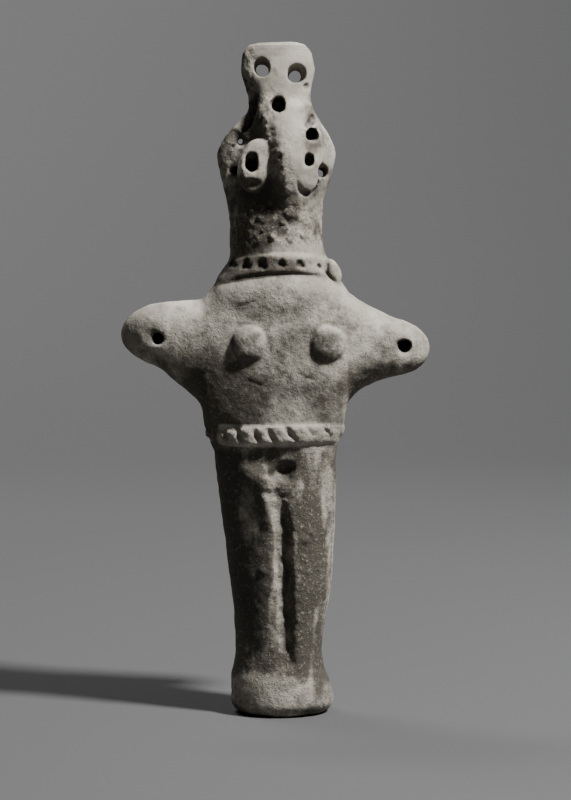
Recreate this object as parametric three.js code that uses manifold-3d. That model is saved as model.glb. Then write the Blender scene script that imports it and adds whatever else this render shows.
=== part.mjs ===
// A bird-headed clay figurine: one piece of fired clay, with its coils and pellets fused to it.
// Millimetres, +Z up, the face towards -Y. The origin is the centre of the flat sole.
import * as THREE from 'three';
import { LoftGeometry } from 'three/addons/geometries/LoftGeometry.js';
import { mergeVertices } from 'three/addons/utils/BufferGeometryUtils.js';
import Module from 'manifold-3d';

// The figure's pose and proportions are kept as shares of its height, in hundredths.
const height = 160;
const share = (hundredths) => hundredths * height / 100;

// Rounded edges and tips.
const footEdgeRadius = 3;
const crownCornerRadius = 3.6;
const armTipLength = 9;
const smallestTip = 0.1;
const crownEdgeRoundness = 0.6;

// Applied clay: the coils and pellets.
const coilHeight = 5;
const collarProud = 1.6;
const beltProud = 1.2;
const coilSink = 0.8;
const coilEndLength = 6.4;
const breastRadius = 4.4;
const breastProud = 4;
const eyeWidth = 6.6;
const eyeHeight = 12.4;
const eyeThickness = 4.4;

// Holes and pits.
const crownBore = 2.8;
const crownBoreMouth = 4;
const foreheadBore = 3.7;
const foreheadBoreDepth = 5;
const earBore = 2.3;
const eyeBore = 2.5;
const eyeBoreDepth = 3.2;
const armBore = 2.7;
const armBoreDepth = 5;
const pitWidth = 4.4;
const pitDepth = 1.6;

// Marks pressed into the coils with a stick.
const beltStrokeCount = 7;
const beltStrokePitch = 4.1;
const beltStrokeWidth = 1.3;
const beltStrokeLength = 5.4;
const collarMarkCount = 6;
const collarMarkPitch = 4.15;
const collarMarkWidth = 1.9;
const markDepth = 1.1;

// The groove that parts the legs.
const grooveWidth = 4.6;
const grooveDepth = 2.6;

// How finely the curved surfaces are faceted.
const bodySides = 34;
const headSides = 26;
const beakSides = 18;
const chestSides = 26;
const ringSpacing = share(2.3);
const pelletSides = 14;
const markSides = 8;
const boreSides = 12;
const mergeDistance = 1e-4;
const turnStep = 0.01;

// How square the sections are: 1 is an ellipse, less is boxier and more is pointed.
const bodySquareness = 0.86;
const headSquareness = 0.7;
const beakSquareness = 1.15;
const chestSquareness = 0.84;

// Columns: height, left edge, right edge, front depth, back depth. The body runs up inside the head.
const bodyStations = [
  [0, -7.75, 7.8, 6.0, 6.0],
  [2.4, -7.85, 7.85, 6.2, 6.2],
  [5.3, -7.8, 7.15, 5.9, 5.9],
  [7.1, -7.45, 6.4, 5.5, 5.6],
  [9.8, -7.05, 6.15, 5.3, 5.4],
  [13.8, -7.25, 6.5, 5.4, 5.4],
  [19.9, -7.9, 7.5, 5.6, 5.5],
  [29, -8.9, 7.95, 5.8, 5.7],
  [37.2, -9.9, 8.1, 5.9, 5.9],
  [43.5, -10.4, 8.4, 5.8, 5.9],
  [55, -10.4, 8.5, 5.4, 5.6],
  [62.5, -10.2, 8.5, 5.4, 5.8],
  [66, -8.7, 7.6, 5.4, 5.8],
  [69, -7.9, 6.5, 5.2, 5.6],
  [73, -7.6, 5.7, 5.0, 5.4],
  [77, -7.4, 5.5, 4.8, 5.3],
  [82, -6.3, 5.2, 4.2, 5.2],
  [88, -5.0, 4.2, 3.0, 4.3],
  [93.5, -4.2, 3.2, 0.8, 2.5],
];

// The flat head: ears that stand out to the sides, and the pierced crown above them.
const headStations = [
  [71, -6.9, 5.0, 2.4, 3.0],
  [76.1, -8.0, 5.9, 2.4, 2.9],
  [79.6, -8.9, 7.2, 2.2, 2.8],
  [83.2, -9.55, 8.0, 2.0, 2.7],
  [85, -9.0, 7.55, 2.0, 2.7],
  [88.5, -6.8, 5.5, 2.0, 2.7],
  [90.2, -5.4, 4.5, 1.8, 2.8],
  [92, -5.3, 4.3, 1.5, 2.9],
  [95.8, -6.2, 4.9, 1.0, 3.2],
  [98, -6.0, 4.55, 0.7, 3.4],
  [100, -5.6, 4.3, 0.4, 3.6],
];

// Columns: height, middle, half width, and how far the beak's ridge stands before the middle plane.
const beakStations = [
  [74.7, 2.1, 1.0, 5.0],
  [77.1, 1.6, 1.9, 6.4],
  [79.3, 1.1, 2.6, 7.2],
  [82.3, 0.6, 3.3, 7.1],
  [85.7, 0.1, 4.0, 6.1],
  [89.1, -0.3, 4.5, 3.8],
  [91.8, -0.5, 4.0, 1.4],
];

// The chest runs out into the arm stubs. Columns: place across, top, bottom, front depth, back depth.
const chestStations = [
  [-24.1, 60.7, 52.9, 3.3, 3.3],
  [-19.6, 61.3, 52.3, 3.8, 3.7],
  [-15.6, 61.8, 49.5, 4.5, 4.3],
  [-12.2, 62.1, 46.3, 5.1, 5.0],
  [-11, 63.2, 43.0, 5.4, 5.3],
  [-8.6, 65.4, 41.8, 5.9, 5.7],
  [-1, 66.4, 41.4, 6.4, 6.2],
  [6.6, 65.9, 41.8, 6.1, 5.8],
  [8.8, 64.4, 43.8, 5.6, 5.5],
  [10, 63.0, 47.0, 5.2, 5.2],
  [12.9, 61.3, 49.3, 4.7, 4.6],
  [17.8, 59.4, 50.6, 3.9, 3.8],
  [22, 58.9, 50.6, 3.3, 3.3],
];

// The coils: the height of the middle at the front, how much lower the sides lie, and how much higher
// the right side lies than the left. The marks are spaced about a middle of their own.
const collar = { level: 67.7, drop: 1.25, lean: 0, marksMiddle: -1.1 };
const belt = { level: 42.3, drop: 0.75, lean: 0.5, marksMiddle: -0.9 };
const collarEndTurn = -0.35;

// Where the details sit: across, up, and how far they stand before the middle plane.
const breasts = [{ x: -4.7, z: 55.6 }, { x: 6.5, z: 55.6 }];
const eyes = [
  { x: -3.9, z: 81.8, front: 4.0, facing: -0.3, tilt: 0.16 },
  { x: 3.5, z: 81.4, front: 3.9, facing: 0.55, tilt: 0.02 },
];
const eyeBoreLift = 0.5;
const crownBores = [{ x: -3.0, z: 96.2, front: 1.0 }, { x: 2.1, z: 95.3, front: 1.0 }];
const earBores = [
  { x: -6.2, z: 85.3, front: 2.0, facing: 0.02 },
  { x: -7.15, z: 81.0, front: 1.8, facing: -0.1 },
  { x: 4.6, z: 86.1, front: 2.0, facing: -0.25 },
  { x: 6.0, z: 80.9, front: 1.8, facing: 0.2 },
];
const foreheadPlace = { x: -0.5, z: 90.7, front: 2.4 };
const armPlaces = [{ x: -18.3, z: 56.4, front: 3.6 }, { x: 18.1, z: 55.2, front: 3.6 }];
const boreSlope = 0.1;
const boreLead = 3;
const beltStrokeTilt = -0.6;
const pit = { x: 0.7, z: 36.8 };
const groove = { x: 0.6, top: 33.4, bottom: 7.4 };

const wasm = await Module();
wasm.setup();

// Reads column `key` of the stations at a place along them, along a smooth curve that never overshoots.
function valueAt(stations, key, at) {
  const last = stations.length - 2;
  let i = stations.findIndex((station) => station[0] > at) - 1;
  i = i < 0 ? (at < stations[0][0] ? 0 : last) : Math.min(i, last);
  const slope = (k) => {
    const j = Math.min(Math.max(k, 0), last);
    return (stations[j + 1][key] - stations[j][key]) / (stations[j + 1][0] - stations[j][0]);
  };
  const tangent = (k) => {
    const before = slope(k - 1);
    const after = slope(k);
    return before * after > 0 ? 2 * before * after / (before + after) : 0;
  };
  const span = stations[i + 1][0] - stations[i][0];
  const t = THREE.MathUtils.clamp((at - stations[i][0]) / span, 0, 1);
  const rise = stations[i + 1][key] - stations[i][key];
  const startPull = tangent(i) * span;
  const endPull = tangent(i + 1) * span;
  const eased = (3 * rise - 2 * startPull - endPull) * t * t + (startPull + endPull - 2 * rise) * t * t * t;
  return stations[i][key] + startPull * t + eased;
}

// Every column of the stations after the first, in millimetres, at a place in millimetres.
function readStations(stations, place) {
  const keys = stations[0].map((_, key) => key).slice(1);
  return keys.map((key) => share(valueAt(stations, key, place / share(1))));
}

// How far an edge of this radius is drawn in, at a distance from the flat face that it leads to.
function roundedInset(radius, distance) {
  const rest = Math.max(radius - distance, 0);
  return radius - Math.sqrt(radius * radius - rest * rest);
}

function solidFrom(geometry) {
  const bare = new THREE.BufferGeometry();
  bare.setAttribute('position', geometry.getAttribute('position'));
  bare.setIndex(geometry.index);
  const merged = mergeVertices(bare, mergeDistance);
  const vertProperties = merged.getAttribute('position').array;
  const triVerts = new Uint32Array(merged.index.array);
  return new wasm.Manifold(new wasm.Mesh({ numProp: 3, vertProperties, triVerts }));
}

const loft = (sections) => solidFrom(new LoftGeometry(sections, { capStart: true, capEnd: true }));

function geometryFrom(solid) {
  const { vertProperties, triVerts } = solid.getMesh();
  const geometry = new THREE.BufferGeometry();
  geometry.setAttribute('position', new THREE.BufferAttribute(vertProperties, 3));
  geometry.setIndex(new THREE.BufferAttribute(triVerts, 1));
  geometry.computeVertexNormals();
  return geometry;
}

// One point of an oval section.
function ovalPoint(turn, left, right, front, back, squareness) {
  const along = Math.cos(turn);
  const deep = Math.sin(turn);
  const across = Math.sign(along) * Math.abs(along) ** squareness;
  const through = Math.sign(deep) * Math.abs(deep) ** squareness;
  const x = (left + right) / 2 + (right - left) / 2 * across;
  const y = (back - front) / 2 + (back + front) / 2 * through;
  return new THREE.Vector2(x, y);
}

const turns = (sides) => Array.from({ length: sides }, (_, i) => 2 * Math.PI * i / sides);

// Levels from bottom to top, close together where an edge of the given radius is rounded.
function levelsBetween(bottom, top, bottomRadius, topRadius) {
  const levels = [];
  const arcSteps = 4;
  for (let i = 0; i < arcSteps && bottomRadius > 0; i += 1) {
    levels.push(bottom + bottomRadius * (1 - Math.cos(Math.PI / 2 * i / arcSteps)));
  }
  const straight = top - topRadius - bottom - bottomRadius;
  const steps = Math.max(Math.round(straight / ringSpacing), 1);
  for (let i = 0; i <= steps; i += 1) {
    levels.push(bottom + bottomRadius + straight * i / steps);
  }
  for (let i = 1; i <= arcSteps && topRadius > 0; i += 1) {
    levels.push(top - topRadius * (1 - Math.sin(Math.PI / 2 * i / arcSteps)));
  }
  return levels;
}

function bodyPoint(turn, level) {
  const inset = roundedInset(footEdgeRadius, level);
  const [left, right, front, back] = readStations(bodyStations, level);
  return ovalPoint(turn, left + inset, right - inset, front - inset, back - inset, bodySquareness);
}

function body() {
  const top = share(bodyStations.at(-1)[0]);
  const sections = levelsBetween(0, top, footEdgeRadius, 0).map((level) =>
    turns(bodySides).map((turn) => {
      const { x, y } = bodyPoint(turn, level);
      return new THREE.Vector3(x, y, level);
    }));
  return loft(sections);
}

function head() {
  const bottom = share(headStations[0][0]);
  const top = share(headStations.at(-1)[0]);
  const sections = levelsBetween(bottom, top, 0, crownCornerRadius).map((level) => {
    const inset = roundedInset(crownCornerRadius, top - level);
    const [left, right, front, back] = readStations(headStations, level);
    const thin = roundedInset((front + back) / 2, top - level) * crownEdgeRoundness;
    return turns(headSides).map((turn) => {
      const edges = [left + inset, right - inset, front - thin, back - thin];
      const { x, y } = ovalPoint(turn, ...edges, headSquareness);
      return new THREE.Vector3(x, y, level);
    });
  });
  return loft(sections);
}

function beak() {
  const bottom = share(beakStations[0][0]);
  const top = share(beakStations.at(-1)[0]);
  const sections = levelsBetween(bottom, top, 0, 0).map((level) => {
    const [middle, half, crest] = readStations(beakStations, level);
    return turns(beakSides).map((turn) => {
      const { x, y } = ovalPoint(turn, middle - half, middle + half, crest, share(1), beakSquareness);
      return new THREE.Vector3(x, y, level);
    });
  });
  return loft(sections);
}

// The chest and both arm stubs: upright oval sections from one rounded tip to the other.
function chest() {
  const leftTip = share(chestStations[0][0]);
  const rightTip = share(chestStations.at(-1)[0]);
  const sections = levelsBetween(leftTip, rightTip, armTipLength, armTipLength).map((x) => {
    const [top, bottom, front, back] = readStations(chestStations, x);
    const beyond = 1 - Math.min(x - leftTip, rightTip - x, armTipLength) / armTipLength;
    const taper = Math.max(Math.sqrt(1 - beyond * beyond), smallestTip);
    const middle = (top + bottom) / 2;
    const half = (top - bottom) / 2 * taper;
    return turns(chestSides).map((turn) => {
      const { x: up, y } = ovalPoint(turn, -half, half, front * taper, back * taper, chestSquareness);
      return new THREE.Vector3(x, y, middle - up);
    });
  });
  return loft(sections);
}

// How far the chest's front stands before the middle plane, at a place across and up.
function chestFront(x, z) {
  const [top, bottom, front] = readStations(chestStations, x);
  const off = Math.min(Math.abs(2 * z - top - bottom) / (top - bottom), 1);
  return front * (1 - off ** (2 / chestSquareness)) ** (chestSquareness / 2);
}

// The height of a coil's middle, at a turn round the body.
function coilLevel({ level, drop, lean }, turn) {
  return share(level - drop * Math.cos(turn) ** 2 + lean * Math.cos(turn));
}

// A coil of clay laid round the body, with a rounded section.
function coil(path, proud) {
  const sectionSteps = 6;
  const sections = [];
  for (let i = 0; i <= sectionSteps; i += 1) {
    const lift = Math.PI * (i / sectionSteps - 0.5);
    const out = (proud + coilSink) * Math.cos(lift) - coilSink;
    sections.push(turns(bodySides).map((turn) => {
      const z = coilLevel(path, turn) + coilHeight / 2 * Math.sin(lift);
      const { position } = bodyPlace(turn, z, out);
      return new THREE.Vector3(...position);
    }));
  }
  return loft(sections);
}

// The turn round the body's section at which its front lies at this place across.
function frontTurn(x, level) {
  const right = bodyPoint(0, level).x;
  const left = bodyPoint(Math.PI, level).x;
  const across = THREE.MathUtils.clamp((x - (left + right) / 2) / ((right - left) / 2), -1, 1);
  return -Math.acos(Math.sign(across) * Math.abs(across) ** (1 / bodySquareness));
}

// A place on the body's surface, raised by `out`, with the direction about Z that it faces.
function bodyPlace(turn, level, out) {
  const here = bodyPoint(turn, level);
  const along = bodyPoint(turn + turnStep, level).sub(bodyPoint(turn - turnStep, level)).normalize();
  const position = [here.x + along.y * out, here.y - along.x * out, level];
  return { position, facing: Math.atan2(along.y, along.x) };
}

// An ellipsoid with its own half sizes: tilted in the plane of the front, then faced about Z.
function pellet(halfSizes, position, sides = pelletSides, facing = 0, tilt = 0) {
  const geometry = new THREE.SphereGeometry(1, sides, sides / 2);
  geometry.scale(...halfSizes);
  geometry.rotateY(tilt);
  geometry.rotateZ(facing);
  geometry.translate(...position);
  return solidFrom(geometry);
}

// A stick hole: from just before its mouth back into the clay, sloping down or faced to a side.
function bore(diameter, mouthDiameter, mouth, depth, slope, facing) {
  const length = depth + boreLead;
  const geometry = new THREE.CylinderGeometry(diameter / 2, mouthDiameter / 2, length, boreSides);
  geometry.translate(0, length / 2 - boreLead, 0);
  geometry.rotateX(-slope);
  geometry.rotateZ(facing);
  geometry.translate(...mouth);
  return solidFrom(geometry);
}

// The overlapped end of the collar's coil, on the figure's left side.
function collarEnd() {
  const { position } = bodyPlace(collarEndTurn, coilLevel(collar, collarEndTurn), collarProud / 3);
  return pellet([collarProud, coilEndLength / 2, coilHeight / 2], position);
}

function breastPellets() {
  return breasts.map(({ x, z }) => {
    const y = -chestFront(share(x), share(z)) - breastProud + breastRadius;
    return pellet([breastRadius, breastRadius, breastRadius], [share(x), y, share(z)]);
  });
}

function eyePellets() {
  const halfSizes = [eyeWidth / 2, eyeThickness / 2, eyeHeight / 2];
  return eyes.map((eye) => pellet(halfSizes, placeOf(eye), pelletSides, eye.facing, eye.tilt));
}

function eyeBores() {
  return eyes.map((eye) => {
    const [x, y, z] = placeOf(eye);
    const out = eyeThickness / 2;
    const mouth = [x + Math.sin(eye.facing) * out, y - Math.cos(eye.facing) * out, z + share(eyeBoreLift)];
    return bore(eyeBore, eyeBore, mouth, eyeBoreDepth, 0, eye.facing);
  });
}

// Where a detail's middle lies: its place across and up, and how far it stands before the middle plane.
const placeOf = ({ x, z, front }) => [share(x), -share(front), share(z)];

// Holes right through the flat head: the pierced crown, and the ears.
function headBores() {
  const through = share(9);
  return [
    ...crownBores.map((place) => bore(crownBore, crownBoreMouth, placeOf(place), through, boreSlope, 0)),
    ...earBores.map((place) => bore(earBore, earBore, placeOf(place), through, 0, place.facing)),
  ];
}

function blindHoles() {
  return [
    bore(foreheadBore * 0.7, foreheadBore, placeOf(foreheadPlace), foreheadBoreDepth, boreSlope, 0),
    ...armPlaces.map((place) => bore(armBore, armBore, placeOf(place), armBoreDepth, boreSlope, 0)),
  ];
}

// Marks pressed into a coil, evenly spaced over the front.
function coilMarks(path, count, pitch, proud, halfSizes, tilt) {
  return Array.from({ length: count }, (_, i) => {
    const x = (i - (count - 1) / 2) * pitch + share(path.marksMiddle);
    const turn = frontTurn(x, share(path.level));
    const { position, facing } = bodyPlace(turn, coilLevel(path, turn), proud);
    return pellet(halfSizes, position, markSides, facing, tilt);
  });
}

// Slanted strokes across the belt.
function beltStrokes() {
  const halfSizes = [beltStrokeWidth / 2, markDepth, beltStrokeLength / 2];
  return coilMarks(belt, beltStrokeCount, beltStrokePitch, beltProud, halfSizes, beltStrokeTilt);
}

// Round marks on the collar.
function collarMarks() {
  const halfSizes = [collarMarkWidth / 2, markDepth, collarMarkWidth / 2];
  return coilMarks(collar, collarMarkCount, collarMarkPitch, collarProud, halfSizes, 0);
}

function bellyPit() {
  const level = share(pit.z);
  const { position } = bodyPlace(frontTurn(share(pit.x), level), level, 0);
  return pellet([pitWidth / 2, pitDepth, pitWidth / 2.5], position);
}

// A V-shaped groove between the legs that runs out shallow at both ends.
function legGroove() {
  const steps = 14;
  const sections = [];
  for (let i = 0; i <= steps; i += 1) {
    const level = share(groove.bottom) + (share(groove.top) - share(groove.bottom)) * i / steps;
    const full = Math.max(Math.sin(Math.PI * i / steps), 0.02) ** 0.4;
    const x = share(groove.x);
    const y = bodyPoint(frontTurn(x, level), level).y;
    const half = grooveWidth / 2 * full;
    const deep = y + grooveDepth * full;
    const ahead = y - grooveDepth * full;
    sections.push([
      new THREE.Vector3(x, ahead, level),
      new THREE.Vector3(x + half, y, level),
      new THREE.Vector3(x, deep, level),
      new THREE.Vector3(x - half, y, level),
    ]);
  }
  return loft(sections);
}

const added = [
  head(),
  beak(),
  chest(),
  coil(collar, collarProud),
  coil(belt, beltProud),
  collarEnd(),
  ...breastPellets(),
  ...eyePellets(),
];
const removed = [
  ...headBores(),
  ...eyeBores(),
  ...blindHoles(),
  ...beltStrokes(),
  ...collarMarks(),
  bellyPit(),
  legGroove(),
];
const clay = new THREE.MeshStandardMaterial({ color: 0xa89f8c, roughness: 0.93, metalness: 0 });
const joined = added.reduce((whole, piece) => whole.add(piece), body());
const finished = removed.reduce((whole, piece) => whole.subtract(piece), joined);
const figurine = new THREE.Mesh(geometryFrom(finished), clay);
figurine.name = 'figurine';

const group = new THREE.Group();
group.add(figurine);
export default group;
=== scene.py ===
"""The looks of a bird-headed clay figurine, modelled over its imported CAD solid.

The shape is kept as a distance field, in millimetres, in which every applied coil, pellet, hole and mark is
one function. The field is then skinned with a fine mesh, roughened like hand-made clay, and painted with
nodes.
"""
import math

import bpy
import numpy as np
from mathutils import Euler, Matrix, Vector


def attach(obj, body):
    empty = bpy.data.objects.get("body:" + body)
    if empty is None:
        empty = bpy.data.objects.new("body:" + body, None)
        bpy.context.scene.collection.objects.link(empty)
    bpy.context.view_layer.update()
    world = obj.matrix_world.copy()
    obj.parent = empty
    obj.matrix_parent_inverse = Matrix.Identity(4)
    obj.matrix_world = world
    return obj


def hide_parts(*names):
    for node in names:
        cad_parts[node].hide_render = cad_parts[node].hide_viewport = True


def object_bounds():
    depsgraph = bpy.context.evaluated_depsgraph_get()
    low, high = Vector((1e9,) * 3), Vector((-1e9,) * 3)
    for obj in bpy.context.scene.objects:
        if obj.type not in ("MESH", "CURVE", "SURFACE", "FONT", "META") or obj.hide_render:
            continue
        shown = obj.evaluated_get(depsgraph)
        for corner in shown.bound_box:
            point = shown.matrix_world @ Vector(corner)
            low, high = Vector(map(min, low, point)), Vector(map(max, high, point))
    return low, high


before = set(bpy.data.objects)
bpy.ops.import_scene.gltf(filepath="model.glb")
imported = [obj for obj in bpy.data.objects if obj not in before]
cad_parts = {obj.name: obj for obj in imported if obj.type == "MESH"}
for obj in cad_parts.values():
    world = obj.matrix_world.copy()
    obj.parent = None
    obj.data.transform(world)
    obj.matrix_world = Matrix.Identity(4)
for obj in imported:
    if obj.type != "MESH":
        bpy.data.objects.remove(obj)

cad_low, cad_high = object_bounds()
MM = 0.001
SHARE = cad_high.z / MM / 100  # one hundredth of the height: the pose and proportions are kept in these
VOXEL = 0.445  # the field's spacing in millimetres, which keeps the mesh under 200,000 triangles
MARGIN = 2.0  # room round the CAD box
FAR = 30.0  # the largest distance that is kept
SOLE_BAND = 0.35  # points of the mesh below this lie on the sole
LEAST_STEEPNESS = 1e-4
LEAST_LENGTH = 1e-9
CURVE_STEPS = 1200
DEEPEST_FRONT = 5.0  # how far back the front surface is looked for

# Stations close to the CAD solid's, in hundredths of the height.
# Columns: height, left edge, right edge, front depth, back depth. Behind the chest it is only a core.
BODY_STATIONS = np.array([
    (0, -7.75, 7.8, 6.0, 6.0),
    (2.4, -7.85, 7.85, 6.2, 6.2),
    (5.3, -7.8, 7.15, 5.9, 5.9),
    (7.1, -7.45, 6.4, 5.5, 5.6),
    (9.8, -7.05, 6.15, 5.3, 5.4),
    (13.8, -7.25, 6.5, 5.4, 5.4),
    (19.9, -7.9, 7.5, 5.6, 5.5),
    (29, -8.9, 7.95, 5.8, 5.7),
    (37.2, -9.9, 8.1, 5.9, 5.9),
    (43.5, -10.3, 8.3, 5.7, 5.8),
    (49, -9.2, 7.2, 4.4, 4.6),
    (59, -8.8, 7.0, 4.2, 4.6),
    (66, -8.5, 7.4, 5.2, 5.6),
    (69, -7.9, 6.5, 5.2, 5.6),
    (73, -7.6, 5.7, 5.0, 5.4),
    (77, -7.2, 5.3, 4.3, 5.2),
    (82, -6.3, 5.2, 2.6, 5.0),
    (88, -5.0, 4.2, 1.3, 4.1),
    (93.5, -2.5, 1.8, -0.2, 1.6),
])

# The flat head: ears, and the pierced crown above them.
HEAD_STATIONS = np.array([
    (71, -6.9, 5.0, 2.4, 3.0),
    (76.1, -8.0, 5.9, 2.4, 2.9),
    (79.6, -8.9, 7.2, 2.2, 2.8),
    (83.2, -9.55, 8.0, 2.0, 2.7),
    (85, -9.0, 7.55, 2.0, 2.7),
    (88.5, -6.8, 5.5, 2.0, 2.7),
    (90.2, -5.4, 4.5, 1.8, 2.8),
    (92, -5.3, 4.3, 1.5, 2.9),
    (95.8, -6.2, 4.9, 1.0, 3.2),
    (98, -6.0, 4.55, 0.7, 3.4),
    (100, -5.6, 4.3, 0.4, 3.6),
])

# Columns: height, middle, half width on the left, how far the beak's ridge stands before the middle plane,
# and half width on the right, where the flank runs out into the ear.
BEAK_STATIONS = np.array([
    (74.7, 1.2, 1.0, 4.7, 1.6),
    (77.1, 0.8, 1.9, 5.7, 3.0),
    (79.3, 0.6, 2.6, 6.7, 4.4),
    (82.3, 0.6, 3.3, 7.0, 5.4),
    (85.7, 0.6, 3.5, 6.1, 5.2),
    (89.1, 0.3, 3.7, 3.9, 3.9),
    (91.8, 0.1, 3.4, 1.6, 3.4),
    (94.5, 0.0, 2.0, -1.8, 2.0),
])

# The chest runs out into the arm stubs. Columns: place across, top, bottom, front depth, back depth.
CHEST_STATIONS = np.array([
    (-24.1, 60.7, 52.9, 3.3, 3.3),
    (-19.6, 61.3, 52.3, 3.8, 3.7),
    (-15.6, 61.8, 49.5, 4.5, 4.3),
    (-12.2, 62.1, 46.3, 5.1, 5.0),
    (-11, 63.2, 43.0, 5.4, 5.3),
    (-8.6, 65.4, 41.8, 5.9, 5.7),
    (-1, 66.4, 41.4, 6.4, 6.2),
    (6.6, 65.9, 41.8, 6.1, 5.8),
    (8.8, 64.4, 43.8, 5.6, 5.5),
    (10, 63.0, 47.0, 5.2, 5.2),
    (12.9, 61.2, 49.3, 4.7, 4.6),
    (17.8, 59.15, 50.6, 3.9, 3.8),
    (22, 58.9, 50.6, 3.3, 3.3),
])

FOOT_EDGE_RADIUS = 3.0
CROWN_CORNER_RADIUS = 3.6
CROWN_EDGE_ROUNDNESS = 0.6
ARM_TIP_LENGTH = 9.0
CROWN_THINNING = 2 * SHARE

# How square the sections are: 1 is an ellipse, less is boxier and more is pointed.
BODY_SQUARENESS = 1.0
HEAD_LEFT_SQUARENESS = 1.05
HEAD_RIGHT_SQUARENESS = 0.7
BEAK_SQUARENESS = 1.15
CHEST_SQUARENESS = 0.84
COIL_SQUARENESS = 0.86

# The body and the beak fade out inside the head between these heights, in millimetres.
BODY_FADE = (139, 148)
BEAK_FADE = (144.5, 150)
FADE_DEPTH = 4
BEAK_LEAST_THICKNESS = 1.2 * SHARE

# How softly the lumps run into one another, in millimetres
CHEST_BLEND = 4
HEAD_BLEND = 3

# The two applied coils: middle height, how far the sides drop, and how far the right side rises, all in
# hundredths of the height, and how far the coil stands proud, in millimetres.
COLLAR = {"level": 67.5, "drop": 1.1, "lean": 0.3, "proud": 1.0}
BELT = {"level": 42.3, "drop": 0.75, "lean": 0.5, "proud": 1.2}
COIL_HEIGHT = 4.4
COIL_SINK = 0.8
COIL_POWER = 2.9
COIL_BLEND = 0.5
COIL_WINDOW = 7
COIL_SIDE_LOSS = 0.75  # how much of its stand the coil loses at the sides
COIL_OVERHANG = 3.2  # how far past the body's sides a coil may reach


# Smooth curves through the stations

def curve_through(stations, column):
    """Close pairs of place and value along a curve that never overshoots, in millimetres."""
    places = stations[:, 0]
    values = stations[:, column]
    spans = np.diff(places)
    slopes = np.diff(values) / spans
    before = np.concatenate([slopes[:1], slopes])
    after = np.concatenate([slopes, slopes[-1:]])
    same_way = before * after > 0
    total = np.where(same_way, before + after, 1)
    tangents = np.where(same_way, 2 * before * after / total, 0)
    fine = np.linspace(places[0], places[-1], CURVE_STEPS)
    k = np.clip(np.searchsorted(places, fine, side="right") - 1, 0, len(spans) - 1)
    t = (fine - places[k]) / spans[k]
    rise = values[k + 1] - values[k]
    start = tangents[k] * spans[k]
    end = tangents[k + 1] * spans[k]
    curve = values[k] + start * t + (3 * rise - 2 * start - end) * t**2 + (start + end - 2 * rise) * t**3
    return fine * SHARE, curve * SHARE


def read(stations, at):
    """Every column of the stations after the first, at places in millimetres."""
    columns = range(1, stations.shape[1])
    return [np.interp(at, *curve_through(stations, column)).astype(np.float32) for column in columns]


def rounded_inset(radius, distance):
    """How far an edge of this radius is drawn in, at a distance from the face that it leads to."""
    rest = np.clip(radius - distance, 0, radius)
    return radius - np.sqrt(radius**2 - rest**2)


def oval(across, through, left, right, front, back, squareness):
    """Below 1 inside an oval section and above 1 outside it."""
    power = 2 / squareness
    x = np.abs((2 * across - left - right) / (right - left))
    y = np.abs((2 * through + front - back) / (front + back))
    return (x**power + y**power) ** (1 / power)


# Noise

def noise(points, size, seed):
    """Smooth random values from -1 to 1 whose lumps are about `size` across."""
    cells = np.asarray(points, float) / size
    base = np.floor(cells).astype(int)
    part = cells - base
    part = part * part * (3 - 2 * part)
    base -= base.min(axis=0)
    lattice = np.random.default_rng(seed).uniform(-1, 1, base.max(axis=0) + 2)
    total = np.zeros(len(cells))
    for corner in np.ndindex(2, 2, 2):
        weight = np.prod(np.where(corner, part, 1 - part), axis=1)
        total += weight * lattice[tuple((base + corner).T)]
    return total


def lumps(points, size, octaves, seed):
    """Noise with finer noise on top, each octave half the size and half the strength."""
    return sum(noise(points, size / 2**i, seed + i) / 2**i for i in range(octaves))


def ramp(values, start, end):
    """0 below `start`, 1 above `end` and smooth between them."""
    t = np.clip((values - start) / (end - start), 0, 1)
    return t * t * (3 - 2 * t)


# The distance field

def smooth_min(a, b, blend):
    if blend <= 0:
        return np.minimum(a, b)
    overlap = np.maximum(blend - np.abs(a - b), 0) / blend
    return np.minimum(a, b) - overlap**2 * blend / 4


def as_distance(values):
    """Turns a function that is zero on a surface into about the distance from it."""
    slopes = np.gradient(values, VOXEL)
    steepness = np.sqrt(sum(slope**2 for slope in slopes)) + LEAST_STEEPNESS
    return np.clip(values / steepness, -FAR, FAR)


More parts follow.
